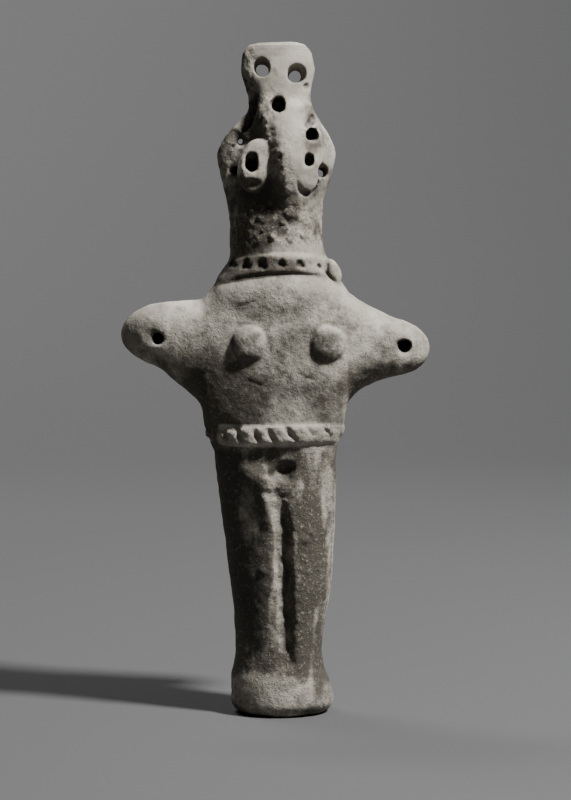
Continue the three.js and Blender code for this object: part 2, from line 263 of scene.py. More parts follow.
class Clay:
    """A block of space that holds the shape as distances: below zero inside the clay."""

    def __init__(self, low, high):
        self.low = np.array(low, float)
        self.counts = np.ceil((np.array(high) - self.low) / VOXEL).astype(int) + 1
        self.field = np.full(self.counts, FAR, np.float32)

    def window(self, low, high):
        first = np.clip(np.floor((np.array(low) - self.low) / VOXEL).astype(int), 0, self.counts - 4)
        last = np.clip(np.ceil((np.array(high) - self.low) / VOXEL).astype(int) + 1, first + 3, self.counts)
        where = tuple(slice(a, b) for a, b in zip(first, last))
        axes = [(self.low[i] + VOXEL * np.arange(first[i], last[i])).astype(np.float32) for i in range(3)]
        return where, np.meshgrid(*axes, indexing="ij", sparse=True)

    def add(self, shape, low, high, blend=0.0):
        where, grid = self.window(low, high)
        self.field[where] = smooth_min(self.field[where], shape(*grid), blend)

    def cut(self, shape, low, high, blend=0.0):
        where, grid = self.window(low, high)
        self.field[where] = -smooth_min(-self.field[where], shape(*grid), blend)

    def sample(self, points, field=None):
        field = self.field if field is None else field
        cells = (np.asarray(points, float) - self.low) / VOXEL
        base = np.clip(np.floor(cells).astype(int), 0, self.counts - 2)
        part = np.clip(cells - base, 0, 1)
        total = np.zeros(len(cells))
        for corner in np.ndindex(2, 2, 2):
            weight = np.prod(np.where(corner, part, 1 - part), axis=1)
            total += weight * field[tuple((base + corner).T)]
        return total

    def normals(self, points):
        steps = np.eye(3) * VOXEL
        slopes = [self.sample(points + step) - self.sample(points - step) for step in steps]
        slopes = np.stack(slopes, axis=1)
        return slopes / (np.linalg.norm(slopes, axis=1, keepdims=True) + LEAST_LENGTH)

    def front(self, x, z):
        """The point on the clay's front at a place across and up."""
        depths = np.arange(self.low[1], DEEPEST_FRONT, VOXEL / 4)
        points = np.stack([np.full_like(depths, x), depths, np.full_like(depths, z)], axis=1)
        inside = self.sample(points) < 0
        return np.array((x, depths[np.argmax(inside)], z))

    def skin(self):
        """A quad mesh over the surface: one vertex in each cell that the surface crosses."""
        inside = self.field < 0
        shifted = [
            inside[tuple(slice(c, n - 1 + c) for c, n in zip(corner, self.counts))]
            for corner in np.ndindex(2, 2, 2)
        ]
        active = np.logical_or.reduce(shifted) & ~np.logical_and.reduce(shifted)
        cells = np.argwhere(active)
        number = np.full(active.shape, -1)
        number[active] = np.arange(len(cells))
        total = np.zeros((len(cells), 3))
        count = np.zeros(len(cells))
        quads = []
        for axis in range(3):
            along = np.eye(3, dtype=int)[axis]
            u = np.eye(3, dtype=int)[(axis + 1) % 3]
            v = np.eye(3, dtype=int)[(axis + 2) % 3]
            for a, b in np.ndindex(2, 2):
                start = cells + a * u + b * v
                one = self.field[tuple(start.T)]
                two = self.field[tuple((start + along).T)]
                crosses = (one < 0) != (two < 0)
                part = np.where(crosses, one / np.where(crosses, one - two, 1), 0)
                total += np.where(crosses[:, None], start + part[:, None] * along, 0)
                count += crosses
            near = inside[tuple(slice(0, n - s) for n, s in zip(self.counts, along))]
            far = inside[tuple(slice(s, n) for n, s in zip(self.counts, along))]
            for outward in (True, False):
                edges = np.argwhere(near & ~far if outward else far & ~near)
                around = [edges - u - v, edges - v, edges, edges - u]
                ring = [number[tuple(place.T)] for place in around]
                quads.append(np.stack(ring if outward else ring[::-1], axis=1))
        return self.low + VOXEL * total / count[:, None], np.concatenate(quads)


# The main lump

def body_shape(x, y, z):
    left, right, front, back = read(BODY_STATIONS, z)
    inset = rounded_inset(FOOT_EDGE_RADIUS, np.maximum(z, 0))
    edge = oval(x, y, left + inset, right - inset, front - inset, back - inset, BODY_SQUARENESS)
    ends = np.maximum(-z, z - BODY_STATIONS[-1, 0] * SHARE)
    return np.maximum(as_distance(edge - 1), ends) + FADE_DEPTH * ramp(z, *BODY_FADE)


def head_shape(x, y, z):
    left, right, front, back = read(HEAD_STATIONS, z)
    below_top = np.maximum(100 * SHARE - z, 0)
    inset = rounded_inset(CROWN_CORNER_RADIUS, below_top)
    thin = rounded_inset(CROWN_THINNING, below_top) * CROWN_EDGE_ROUNDNESS
    squareness = np.where(2 * x < left + right, HEAD_LEFT_SQUARENESS, HEAD_RIGHT_SQUARENESS)
    edge = oval(x, y, left + inset, right - inset, front - thin, back - thin, squareness)
    ends = np.maximum(HEAD_STATIONS[0, 0] * SHARE - z, z - 100 * SHARE)
    return np.maximum(as_distance(edge - 1), ends)


def beak_shape(x, y, z):
    middle, left_half, crest, right_half = read(BEAK_STATIONS, z)
    half = np.where(x > middle, right_half, left_half)
    back = np.maximum(SHARE, BEAK_LEAST_THICKNESS - crest)
    edge = oval(x, y, middle - half, middle + half, crest, back, BEAK_SQUARENESS)
    ends = np.maximum(BEAK_STATIONS[0, 0] * SHARE - z, z - BEAK_STATIONS[-1, 0] * SHARE)
    return np.maximum(as_distance(edge - 1), ends) + FADE_DEPTH * ramp(z, *BEAK_FADE)


def chest_shape(x, y, z):
    top, bottom, front, back = read(CHEST_STATIONS, x)
    edge = oval(z, y, bottom, top, front, back, CHEST_SQUARENESS)
    left_tip = CHEST_STATIONS[0, 0] * SHARE
    right_tip = CHEST_STATIONS[-1, 0] * SHARE
    beyond = 1 - np.minimum(x - left_tip, right_tip - x) / ARM_TIP_LENGTH
    return as_distance(np.sqrt(edge**2 + np.maximum(beyond, 0) ** 2) - 1)


clay = Clay(
    [cad_low[i] / MM - MARGIN for i in range(3)],
    [cad_high[i] / MM + MARGIN for i in range(3)],
)
WHOLE = (clay.low, clay.low + clay.counts * VOXEL)
clay.add(body_shape, *WHOLE)
clay.add(chest_shape, *WHOLE, blend=CHEST_BLEND)
clay.add(head_shape, *WHOLE, blend=HEAD_BLEND)
clay.add(beak_shape, *WHOLE, blend=HEAD_BLEND)


# Shapes for the details

# How much of the field round a detail is worked on, beyond the detail's own size
DETAIL_ROOM = 2
CREVICE_ROOM = 2.5
HOLE_ROOM = 3
RIDGE_ROOM = 4
LONGEST_HOLE = 14

# A hole's rim wavers: how much, how many times round, and from which turn
HOLE_WAVER = ((0.05, 2, 0), (0.04, 3, 1), (0.03, 7, 0))
HOLE_MOUTH = 0.9
STRAIGHT_IN = (0, 1, 0)
THROUGH = 30.0
HOLE_BLEND = 0.5


def ellipsoid(centre, half_sizes, facing=0.0, tilt=0.0, lean=0.0, power=2.0):
    """Leant back, tilted in the plane of the front, then turned about Z. A higher power flattens its face."""
    turn = Euler((-lean, tilt, facing)).to_matrix().transposed()

    def shape(x, y, z):
        offset = (x - centre[0], y - centre[1], z - centre[2])
        own = [sum(turn[i][j] * offset[j] for j in range(3)) / half_sizes[i] for i in range(3)]
        outline = np.sqrt(own[0] ** 2 + own[2] ** 2)
        return as_distance((outline**power + np.abs(own[1]) ** power) ** (1 / power) - 1)

    return shape


def stick_hole(mouth, direction, radius, flare, depth):
    """An uneven round hole from its mouth along a direction, wider at the mouth, with a rounded end."""
    direction = np.array(direction, float)
    direction /= np.linalg.norm(direction)

    def shape(x, y, z):
        offset = (x - mouth[0], y - mouth[1], z - mouth[2])
        along = sum(offset[i] * direction[i] for i in range(3))
        aside = np.sqrt(np.maximum(sum(part**2 for part in offset) - along**2, 0))
        end = np.maximum(along - depth, 0)
        widen = flare * np.exp(-np.maximum(along, -0.5) / HOLE_MOUTH)
        turn = np.arctan2(offset[2], offset[0]) + mouth[0]
        uneven = 1
        for amount, times, start in HOLE_WAVER:
            uneven = uneven + amount * np.sin(times * turn + start)
        return np.hypot(aside, end) - (radius + widen) * uneven

    return shape


def stroke(start, end, start_radius, end_radius):
    """A round-ended stroke between two points."""
    start = np.array(start, float)
    run = np.array(end, float) - start

    def shape(x, y, z):
        offset = (x - start[0], y - start[1], z - start[2])
        t = np.clip(sum(offset[i] * run[i] for i in range(3)) / (run @ run), 0, 1)
        gap = sum((offset[i] - t * run[i]) ** 2 for i in range(3))
        return np.sqrt(gap) - start_radius - (end_radius - start_radius) * t

    return shape


def reach(*points, extra):
    """A window round some points."""
    points = np.array(points, float)
    return points.min(axis=0) - extra, points.max(axis=0) + extra


def cut_stroke(start, end, radii, sunk=0.0, blend=0.3):
    """Cuts a stroke into the front between two places across and up."""
    ends = [clay.front(*place) + (0, sunk, 0) for place in (start, end)]
    clay.cut(stroke(*ends, *radii), *reach(*ends, extra=max(radii) + DETAIL_ROOM), blend=blend)


def bore_hole(place, radius, flare, depth, direction):
    """A stick hole from a place across and up on the front."""
    mouth = clay.front(*place)
    inner = mouth + np.array(direction, float) * min(depth, LONGEST_HOLE)
    shape = stick_hole(mouth, direction, radius, flare, depth)
    clay.cut(shape, *reach(mouth, inner, extra=radius + HOLE_ROOM), blend=HOLE_BLEND)


def dent(place, half_sizes, sunk=0.0, tilt=0.0, blend=0.6):
    """A shallow hollow in the front."""
    centre = clay.front(*place) + (0, sunk, 0)
    shape = ellipsoid(centre, half_sizes, tilt=tilt)
    clay.cut(shape, *reach(centre, extra=max(half_sizes) + DETAIL_ROOM), blend=blend)


def pellet(centre, half_sizes, blend, power=2.0, **pose):
    """A pellet pressed on to the clay."""
    shape = ellipsoid(centre, half_sizes, power=power, **pose)
    clay.add(shape, *reach(centre, extra=max(half_sizes) + DETAIL_ROOM), blend=blend)


def ridge(places, radius, sunk, blend):
    """Raises a soft ridge along places across and up."""
    on_front = [clay.front(*place) + (0, sunk, 0) for place in places]
    for start, end in zip(on_front, on_front[1:]):
        shape = stroke(start, end, radius, radius)
        clay.add(shape, *reach(start, end, extra=radius + RIDGE_ROOM), blend=blend)


# The applied coils follow the surface that they lie on

def add_coil(coil):
    """Lays a coil round the body, with a rounded section."""
    level = coil["level"] * SHARE
    left, right = [float(edge) for edge in read(BODY_STATIONS, level)[:2]]
    low = (clay.low[0], clay.low[1], level - COIL_WINDOW)
    high = (WHOLE[1][0], WHOLE[1][1], level + COIL_WINDOW)
    where, (x, y, z) = clay.window(low, high)
    across = np.clip((2 * x - left - right) / (right - left), -1, 1)
    cosine = np.sign(across) * np.abs(across) ** (1 / COIL_SQUARENESS)
    middle = level + (coil["lean"] * cosine - coil["drop"] * cosine**2) * SHARE
    under = clay.field[where]
    proud = coil["proud"] * (1 - COIL_SIDE_LOSS * across**4)
    half_thickness = (proud + COIL_SINK) / 2
    out = (under - proud + half_thickness) / half_thickness
    up = (z - middle) / (COIL_HEIGHT / 2)
    ring = (np.abs(out) ** COIL_POWER + np.abs(up) ** COIL_POWER) ** (1 / COIL_POWER) - 1
    past_sides = np.abs(x - (left + right) / 2) - (right - left) / 2 - COIL_OVERHANG
    clay.field[where] = smooth_min(under, np.maximum(as_distance(ring), past_sides), COIL_BLEND)


# A soft swelling of the chest under the collar, then the coils
pellet((-2.0, -2.2, 100.4), (12.8, 7.7, 5.6), blend=3.0, power=2.6)
add_coil(COLLAR)
add_coil(BELT)

# The collar's end lies over its start as a flap, with a crack between them
pellet((11.5, -2.4, 105.7), (2.1, 3.0, 3.5), blend=0.8, power=2.6, facing=0.35, tilt=-0.35)
cut_stroke((10.7, 107.9), (10.5, 105.6), (0.3, 0.4))
cut_stroke((10.5, 105.6), (12.6, 103.4), (0.4, 0.25))

# Pellets: breasts and eyes
BREAST_PLACES = ((-7.52, 89.0), (10.4, 89.0))
BREAST_HALF_SIZES = (4.9, 4.4, 5.1)
BREAST_SUNK = 2.8
for place in BREAST_PLACES:
    pellet(clay.front(*place) + (0, BREAST_SUNK, 0), BREAST_HALF_SIZES, blend=0.15, power=2.5)

pellet((-6.3, -6.6, 130.7), (3.9, 3.0, 6.5), blend=0.5, power=3.2, facing=0.12, tilt=0.22, lean=0.12)

# The right eye, in a crevice that goes round its foot
CREVICE_CENTRE = (5.9, 128.6)
CREVICE_HALF_SIZES = (2.45, 4.6)
CREVICE_TURNS = (math.radians(190), math.radians(350))
CREVICE_STEPS = 12
CREVICE_END_RADIUS = 0.15
CREVICE_SWELL = 0.5
turns = np.linspace(*CREVICE_TURNS, CREVICE_STEPS + 1)
crevice = [
    clay.front(
        CREVICE_CENTRE[0] + CREVICE_HALF_SIZES[0] * math.cos(turn),
        CREVICE_CENTRE[1] + CREVICE_HALF_SIZES[1] * math.sin(turn),
    )
    for turn in turns
]
crevice_radii = [
    CREVICE_END_RADIUS + CREVICE_SWELL * math.sin(math.pi * step / CREVICE_STEPS)
    for step in range(CREVICE_STEPS + 1)
]
pellet((5.9, -4.4, 130.2), (3.1, 2.8, 6.0), blend=1.4, power=2.6, facing=0.45, tilt=0.02)
for step in range(CREVICE_STEPS):
    near, far = crevice[step:step + 2]
    piece = stroke(near, far, *crevice_radii[step:step + 2])
    clay.cut(piece, *reach(near, far, extra=CREVICE_ROOM), blend=0.3)

# Worn hollows on the head, the neck and the arms, most of them round a hole.
# Columns: place across and up, half sizes, how far it is sunk, and blend.
WORN_HOLLOWS = (
    ((-0.5, 132.7), (0.5, 0.6, 0.5), 0.0, 0.2),
    ((-4.8, 153.9), (1.75, 3.4, 2.1), 0.0, 0.4),
    ((3.5, 152.5), (2.1, 3.2, 2.1), 0.0, 0.4),
    ((9.6, 129.4), (1.35, 1.6, 1.7), 0.0, 0.3),
    ((5.9, 149.4), (0.9, 0.6, 0.5), 0.0, 0.3),
    ((-0.9, 146.0), (1.3, 1.4, 1.2), 0.0, 0.3),
    ((-8.4, 143.5), (2.6, 0.9, 5.0), 0.0, 2.4),
    ((-11.4, 138.0), (2.0, 0.9, 1.8), 0.0, 0.4),
    ((-6.9, 126.0), (2.6, 1.0, 1.5), 0.0, 0.6),
    ((-31.2, 90.4), (2.2, 0.6, 2.0), -0.2, 0.6),
    ((29.0, 87.4), (1.7, 0.6, 1.2), 0.0, 0.4),
)
for place, half_sizes, sunk, blend in WORN_HOLLOWS:
    dent(place, half_sizes, sunk=sunk, blend=blend)

# The crease where the beak's flank meets the right ear
EAR_CREASE = ((7.9, 143.3), (7.3, 142.0), (6.7, 140.8), (6.0, 140.0))
for start, end in zip(EAR_CREASE, EAR_CREASE[1:]):
    cut_stroke(start, end, (0.45, 0.45), sunk=0.1, blend=0.8)

unbored = clay.field.copy()

# Two holes in the crown, one in the forehead, two in each ear, two close together in each eye, and one in
# each arm.
# Columns: place across and up, radius, how much wider the mouth is, depth, and the way that it runs.
EYE_BORE_DEPTH = 3.2
ARM_BORE_DEPTH = 5
HOLES = (
    ((-4.6, 153.3), 1.3, 0.1, THROUGH, (0, 1, -0.05)),
    ((3.0, 151.9), 1.35, 0.1, THROUGH, (0, 1, -0.05)),
    ((-0.88, 145.0), 1.5, 0.15, 5, STRAIGHT_IN),
    ((-9.86, 136.51), 0.5, 0.7, THROUGH, STRAIGHT_IN),
    ((-11.45, 129.63), 0.9, 0.4, THROUGH, (0.5, 1, 0.2)),
    ((7.3, 137.77), 1.45, 0.15, 6, (-0.15, 1, 0.1)),
    ((9.6, 129.35), 1.2, 0.2, THROUGH, (-0.2, 1, -0.1)),
    ((-7.1, 132.25), 1.35, 0.12, EYE_BORE_DEPTH, STRAIGHT_IN),
    ((6.4, 132.45), 0.8, 0.2, EYE_BORE_DEPTH, STRAIGHT_IN),
    ((-7.1, 130.85), 1.35, 0.12, EYE_BORE_DEPTH, STRAIGHT_IN),
    ((6.4, 131.61), 0.8, 0.2, EYE_BORE_DEPTH, STRAIGHT_IN),
    ((-29.23, 90.19), 1.15, 0.2, ARM_BORE_DEPTH, STRAIGHT_IN),
    ((28.93, 88.31), 1.35, 0.3, ARM_BORE_DEPTH, STRAIGHT_IN),
)
for hole in HOLES:
    bore_hole(*hole)

# Slanting strokes along the belt: x and z at the top, x and z at the foot, and the radius at each end
BELT_STROKES = (
    (-13.9, 68.4, -13.2, 66.6, 0.5, 0.45),
    (-10.7, 69.0, -9.6, 65.9, 0.65, 0.5),
    (-6.7, 68.9, -5.2, 65.7, 0.65, 0.55),
    (-3.5, 69.0, -1.3, 65.6, 0.65, 0.5),
    (1.0, 69.3, 3.2, 66.4, 0.65, 0.45),
    (6.0, 69.2, 6.9, 67.8, 0.3, 0.3),
    (10.1, 68.9, 11.6, 67.2, 0.35, 0.35),
)
for top_x, top_z, foot_x, foot_z, top_radius, foot_radius in BELT_STROKES:
    cut_stroke((top_x, top_z), (foot_x, foot_z), (top_radius, foot_radius), blend=0.6)

# Broken pits along the collar, each with a smaller one beside it: x, z and radius
COLLAR_PITS = (
    (-12.0, 108.0, 1.0),
    (-8.9, 107.9, 1.25),
    (-5.1, 107.8, 1.3),
    (-0.3, 107.9, 0.95),
    (4.1, 107.8, 1.0),
    (8.6, 107.4, 0.5),
)
for x, z, radius in COLLAR_PITS:
    dent((x, z), (radius * 0.8, 0.95, radius * 1.25), tilt=0.6, blend=0.2)
    dent((x + 0.7 * radius, z - 0.6 * radius), (radius * 0.7, 0.7, radius * 0.5), tilt=-0.4, blend=0.2)

# Faint tool marks on the chest and the waist: x and z at the left, and x and z at the right
TOOL_MARKS = (
    (-4.0, 97.2, -1.5, 96.4),
    (-0.5, 93.8, 4.0, 94.6),
    (-3.6, 92.0, -2.6, 86.5),
    (-9.5, 98.2, -5.0, 99.4),
    (3.5, 82.0, 8.0, 80.5),
    (-8.0, 80.5, -3.0, 78.6),
)
for left_x, left_z, right_x, right_z in TOOL_MARKS:
    cut_stroke((left_x, left_z), (right_x, right_z), (0.24, 0.15), sunk=-0.08)

# The belly's hollow, the ridge that leads to the groove between the legs, and the ragged pit
BELLY_RIDGE = ((-7.4, 58.4), (-5.4, 57.2), (-3.8, 55.6), (-2.5, 53.0), (-2.2, 48))
dent((-1.6, 60.6), (5.8, 0.9, 3.2), blend=2.2)
ridge(BELLY_RIDGE, radius=1.0, sunk=1.25, blend=3.4)
dent((-1.9, 58.3), (1.5, 1.2, 0.9), blend=0.9)
dent((2.0, 59.9), (1.0, 0.9, 1.1), blend=0.8)
dent((0.5, 57.7), (1.6, 1.2, 0.9), blend=0.8)
dent((0.4, 59.2), (1.8, 1.7, 1.5), blend=1.4)

# Small lumps on the legs: x, z and radius
LEG_LUMPS = (
    (5.3, 42.6, 1.3),
    (6.7, 44.4, 0.8),
    (-4.4, 35.3, 0.9),
)
for x, z, radius in LEG_LUMPS:
    pellet(clay.front(x, z) + (0, 0.45, 0), (radius, 0.9, radius * 0.8), blend=0.9)

# Crumbs of clay on the neck: x, z and radius
NECK_CRUMBS = (
    (-6.9, 119.9, 0.85),
    (-7.1, 117.4, 0.8),
    (-5.3, 118.5, 0.6),
    (-3.0, 120.2, 0.7),
    (0.4, 117.5, 0.75),
    (-4.6, 115.6, 0.6),
    (-2.2, 114.0, 0.6),
    (1.8, 113.2, 0.65),
    (-6.0, 112.8, 0.6),
    (4.4, 114.6, 0.6),
)
for x, z, radius in NECK_CRUMBS:
    pellet(clay.front(x, z) + (0, 0.25, 0), (radius, 0.75, radius * 0.8), blend=0.2)

# The groove. Columns: height, middle of its bed, and depth, in millimetres
GROOVE = np.array([
    (11.0, 1.9, -0.4),
    (13.0, 1.8, 1.1),
    (17.0, 1.4, 2.1),
    (28.0, 0.9, 2.6),
    (38.0, 0.7, 2.6),
    (46.0, 0.45, 2.2),
    (51.5, 0.1, 1.4),
    (54.5, 0.0, 0.2),
    (56.0, 0.0, -0.8),
])
GROOVE_LEFT_WIDTH = 2.7
GROOVE_RIGHT_WIDTH = 2.5
GROOVE_LEAST_DEPTH = 0.5
GROOVE_WINDOW = (-6, 7)
GROOVE_WAVER = ((0.14, 0.61, 0), (0.07, 1.43, 1), (0.05, 3.1, 0))  # how much, how fast with z, and from where
groove_beds = np.array([clay.front(bed, height)[1] for height, bed, depth in GROOVE])


def groove_shape(x, y, z):
    bed, depth = [np.interp(z, GROOVE[:, 0], GROOVE[:, column]) for column in (1, 2)]
    waver = sum(amount * np.sin(rate * z + start) for amount, rate, start in GROOVE_WAVER)
    aside = x - bed - waver
    width = np.where(aside < 0, GROOVE_LEFT_WIDTH, GROOVE_RIGHT_WIDTH)
    slope = np.maximum(depth, GROOVE_LEAST_DEPTH) / width
    bottom = np.interp(z, GROOVE[:, 0], groove_beds) + depth
    return (y - bottom + np.abs(aside) * slope) / np.sqrt(1 + slope**2)


groove_low = (GROOVE_WINDOW[0], clay.low[1], GROOVE[0, 0])
groove_high = (GROOVE_WINDOW[1], 0, GROOVE[-1, 0])
clay.cut(groove_shape, groove_low, groove_high, blend=0.5)


# Soft masks over the surface, from 0 to 1, from the points' present places

def band(values, start, full, fade, end):
    """Rises from 0 at `start` to 1 at `full`, then falls from `fade` to 0 at `end`."""
    return ramp(values, start, full) * ramp(-values, -end, -fade)


def stripe(values, middle, half_width):
    """1 where the values meet the middle, fading on both sides of it."""
    return np.exp(-((values - middle) / half_width) ** 2)


def spot(across, up, half_width, half_height):
    """1 at a place across and up, fading round it."""
    return np.exp(-(((x - across) / half_width) ** 2 + ((z - up) / half_height) ** 2))


# Skin

# Lumps on the skin: strength and size in millimetres, octaves, and seed
UNDULATION = (0.22, 13, 2, 11)
NICKS = (0.24, 1.5, 2, 61)
SMALL_LUMPS = (0.10, 3.2, 2, 21)
CRUMBS = (0.06, 1.3, 2, 31)
SKIN_DRAWN_IN = 0.12
HIGHEST_LUMP = 0.25
BELT_BAND = (64.4, 65.6, 69.5, 70.5)

# Where the beak's crest lies: heights, and places across
CREST_HEIGHTS = (121, 125.4, 132.3, 137.5, 143.7)
CREST_PLACES = (2.3, 1.0, -0.3, -2.5, -4.7)

points, quads = clay.skin()
points -= clay.normals(points) * clay.sample(points)[:, None]
normals = clay.normals(points)
x, y, z = points.T


def relief(strength, size, octaves, seed):
    """Lumps on the skin, in millimetres."""
    return strength * lumps(points, size, octaves, seed)


undulation = relief(*UNDULATION)

# Where the surface is rougher than elsewhere
beak_crest = np.interp(z, CREST_HEIGHTS, CREST_PLACES)
rough_neck = band(z, 111, 114, 118, 124)
rough_ear = ramp(-x, 6.5, 9) * band(z, 124, 128, 138, 142)
rough_brow = spot(-4, 144, 4, 5)
rough_groove = stripe(x, 1, 3.5) * band(z, 8, 12, 55, 62)
rough_crest = stripe(x, beak_crest, 1.6) * band(z, 118, 122, 146, 149) * (y < 0)
rough_crown_edge = stripe(x, -7.6, 1.3) * ramp(z, 144, 147)
rough_parts = (
    (3.2, rough_neck),
    (1.6, rough_ear),
    (2.2, rough_brow),
    (1.6, rough_groove),
    (3.0, rough_crest),
    (2.5, rough_crown_edge),
    (1.6, band(z, *BELT_BAND)),
)
rough = 1 + sum(strength * mask for strength, mask in rough_parts)
rough *= 1 - 0.5 * ramp(z, 148, 151) * (1 - rough_brow) * (1 - rough_crown_edge)
nicks = stripe(x, -0.6, 2.2) * band(z, 12, 16, 54, 58) * (y < 0)
roughness = nicks * relief(*NICKS) + relief(*SMALL_LUMPS) + rough * relief(*CRUMBS)
away = undulation + roughness - SKIN_DRAWN_IN
away = np.minimum(away, HIGHEST_LUMP * (1 + rough_neck))
points += normals * away[:, None]
points[:, 2] = np.where(points[:, 2] < SOLE_BAND, 0, points[:, 2])
for axis in range(3):
    points[:, axis] = np.clip(points[:, axis], cad_low[axis] / MM, cad_high[axis] / MM)

mesh = bpy.data.meshes.new("figurine_clay")
mesh.from_pydata((points * MM).tolist(), [], quads.tolist())
mesh.shade_smooth()


def store(name, values):
    mesh.attributes.new(name, "FLOAT", "POINT").data.foreach_set("value", np.asarray(values, np.float32))


# Where the surface has real discolouring and wear, and where shade and light are painted into its colour

EDGE_WANDER = 3.0  # how far the mottling moves an edge, in millimetres
BREAST_SHADE_RADIUS = 4.2

mottle = lumps(points, 8, 3, 41)
wander = EDGE_WANDER * mottle
front = y < 0
front_and_sides = y < 2

legs = ramp(z + wander, 7.5, 11.5) * ramp(-z, -66, -62)
# Dark patina with painted shade: the legs' left side, turned from the key light, is painted darker
leg_left_patina_and_shade = legs * ramp(-x + 0.03 * (45 - z), 2.6, 5.6)
leg_middle = legs * ramp(x + wander, 2, 6) * ramp(-x + wander, -11, -7) * ramp(-z, -54, -36)
# Painted light: the legs' right edge, turned to the key light, is painted paler
leg_right_painted_light = legs * ramp(x + wander - 0.04 * (45 - z), 8.6, 12)
# Painted highlight along the groove's left wall, which faces the key light
groove_rim_painted_highlight = stripe(x, 0.045 * (47.6 - z) - 1.75, 1.35) * band(z, 13, 18, 54, 57) * front
# Painted shade at the foot of the groove
groove_foot_painted_shade = spot(0.8, 14.6, 4.5, 3) * front
foot = ramp(-z, -13, -9)
# Painted shade in the belly pit
belly_pit_painted_shade = spot(0, 59, 3.6, 2.4) * front

# Painted light: the belt is painted paler, and the painted shade in its hollows is lessened, to light its
# shaded left end
belt = band(z, *BELT_BAND) * ramp(x, -16, -14)
torso = band(z, 71, 75, 101, 106)
torso_right = torso * band(x, 0, 8, 26, 34)
waist = stripe(z, 78.8, 3.4) * ramp(x, -9, -4) * front_and_sides
# Painted shade on the waist's lower left, which turns down and away from the key light
waist_lower_left_painted_shade = ramp(-x, 1, 9) * ramp(x, -24, -17) * ramp(z, 66, 70) * ramp(-z - 0.7 * x, -88, -76)
# Painted shade under the left arm
under_arm_painted_shade = spot(-16.5, 80.5, 7.5, 4.5) * front_and_sides
breasts = sum(
    np.exp(-(((x - place[0]) ** 2 + (z - place[1]) ** 2) / BREAST_SHADE_RADIUS**2) ** 2)
    for place in BREAST_PLACES
)
# Painted shade on the collar's left part, which turns away from the key light
collar_left_painted_shade = ramp(z - 0.18 * np.minimum(x, 0), 105, 105.8) * ramp(-z, -109.5, -107.5) * ramp(-x, -9, 3)

crown = ramp(z, 146, 149)
crown_smudge = spot(-1.7, 152.8, 1.5, 1.8) * front
right_brow = ramp(x, 2, 6) * band(z, 132, 138, 146, 150)
beak_shade = ramp(x, -7, -4) * ramp(beak_crest - x, 0, 1.5) * band(z, 119, 122, 142, 146)
# Painted light and shade: faces turned up are painted paler, faces turned down or to the left darker
upward_painted_light = ramp(normals[:, 2], 0.2, 0.8)
downward_painted_shade = ramp(-normals[:, 2], 0.1, 0.6)
leftward_painted_shade = ramp(-normals[:, 0], 0.3, 0.9)
streaks = lumps(points * (1, 1, 0.2), 1.4, 2, 51)
flecked = rough_neck + rough_brow + rough_crest + rough_crown_edge + rough_ear + crown_smudge
flecks = np.clip(flecked, 0, 1.3) * lumps(points, 1.6, 3, 71)

# How much each of these darkens the clay, as real discolouring or as painted shade; the ones below zero make
# it paler, as wear or as painted light
BARE_CLAY = 0.24
stains_and_painted_light = (
    (0.28, mottle),
    (0.42, legs),
    # painted shade on the legs' left side, over their dark patina
    (0.22, leg_left_patina_and_shade),
    (0.3, leg_middle),
    (-0.3, leg_right_painted_light),
    (0.3, streaks * legs),
    (-0.38, groove_rim_painted_highlight * (1 + 1.2 * mottle)),
    (0.3, groove_foot_painted_shade),
    (0.08, foot),
    (0.35, spot(10, 7, 2.5, 3)),  # a blotch on the foot
    (-0.2, spot(-5, 6.5, 6, 3.5)),  # the foot's pale left side
    (0.3, spot(-5.5, 58, 3.5, 3) * front),  # the belly
    # painted light on the belt
    (-0.85, belt),
    (0.15, band(z, 56, 60, 65, 66.5)),  # painted shade below the belt
    (0.06, torso),
    (0.09, torso_right),
    (0.1, spot(0, 84, 13, 13)),  # the middle of the chest
    (0.17, waist),
    (0.35, waist_lower_left_painted_shade),
    (-0.14, spot(8, 73.5, 7, 2.5) * front),  # a pale patch on the waist
    (0.2, spot(14.5, 78.5, 3, 3.5) * front_and_sides),  # painted shade under the right arm
    (0.45, under_arm_painted_shade),
    (0.18, breasts),
    (0.14, band(z, 104, 105.5, 110, 111.5)),  # the collar
    (0.72, collar_left_painted_shade),
    (0.2, band(z, 110, 114, 122, 134)),  # the neck
    (0.3, band(z, 104, 107, 122, 134) * ramp(-x, -1, 5)),  # painted shade on the neck's left side, over its dark patina
    (0.35, spot(-7.3, 126.2, 3.2, 2.2)),  # painted shade under the left eye
    (0.25, beak_shade),
    (0.5, spot(-11.2, 138, 2.2, 2)),  # painted shade in the left ear's upper pit
    (0.5, spot(-7.3, 141, 2.4, 4.5) * front_and_sides),  # painted shade on the left brow
    (0.25, right_brow),
    (0.3, spot(-2.5, 146.5, 4, 3) * front),  # the forehead
    (-0.3, crown),
    (0.4, crown * ramp(-x, 7.8, 9.2)),  # painted shade on the crown's left edge
    (0.3, crown_smudge),
    (0.35, flecks),
    (-0.2, upward_painted_light),
    (0.25, downward_painted_shade),
    (0.2, leftward_painted_shade),
)
stain_and_painted_light = BARE_CLAY + sum(strength * mask for strength, mask in stains_and_painted_light)
store("patina_and_painted_light", np.clip(stain_and_painted_light, 0, 1))


# Painted shade: how hollow each point is, from what lies in front of it and the depth of its bore, with
# painted shade under the left arm, on the legs' left side, at the groove's foot and in the belly pit

NEAR = 1.2
WIDE = 3.5
BORE_SHADE = (0.7, 2.6)  # a bore darkens between these depths
BELLY_PIT_HEIGHT = 58.5
BELLY_PIT_SHADE = 0.35  # how dark the shallow belly pit gets beside a bore


def crowded(distance):
    """How much clay stands within a distance in front of each point."""
    return np.clip(1 - clay.sample(points + normals * distance) / distance, 0, 1)


